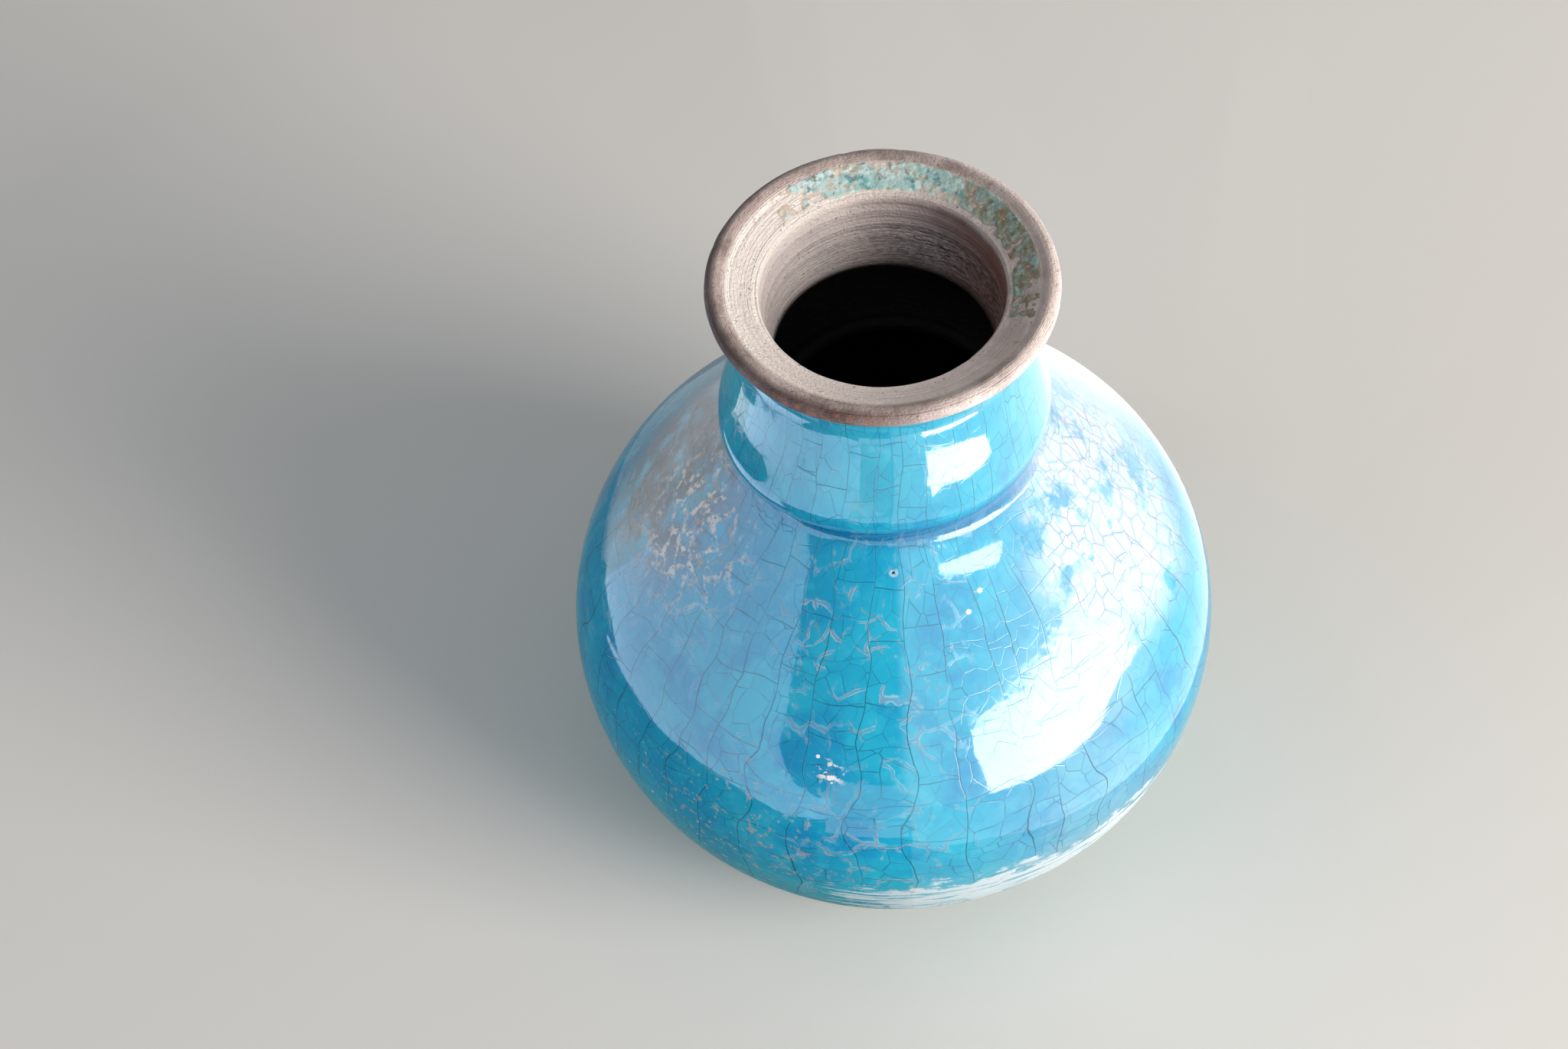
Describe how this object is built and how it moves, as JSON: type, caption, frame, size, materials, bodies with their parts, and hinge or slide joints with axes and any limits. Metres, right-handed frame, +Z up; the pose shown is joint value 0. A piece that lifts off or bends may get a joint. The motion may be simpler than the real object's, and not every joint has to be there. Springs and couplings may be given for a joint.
{
  "type": "glazed ceramic jar",
  "caption": "Squat round-bellied jar with a luted-on bulbous neck, flared bare lip and turned foot ring, under a turquoise crackle glaze.",
  "frame": {"origin": "centre of the foot ring's standing face, on the body's axis", "axes": "+Z up along the body's axis; -Y towards the viewer of the picture; the neck stands off that axis and leans towards -X"},
  "size_m": [0.1498, 0.1498, 0.1696],
  "materials": {
    "body_clay": "bare fired clay, matt",
    "neck_clay": "bare fired clay, worn smooth",
    "slip": "fired slip, matt",
    "turquoise_glaze": "glossy crackle glaze",
    "mouth_glaze": "weathered pale glaze"
  },
  "bodies": {
    "root": {"body": "body_clay", "neck": "neck_clay", "luting_slip": "slip", "outer_glaze": "turquoise_glaze", "mouth_glaze": "mouth_glaze"}
  },
  "joints": []
}
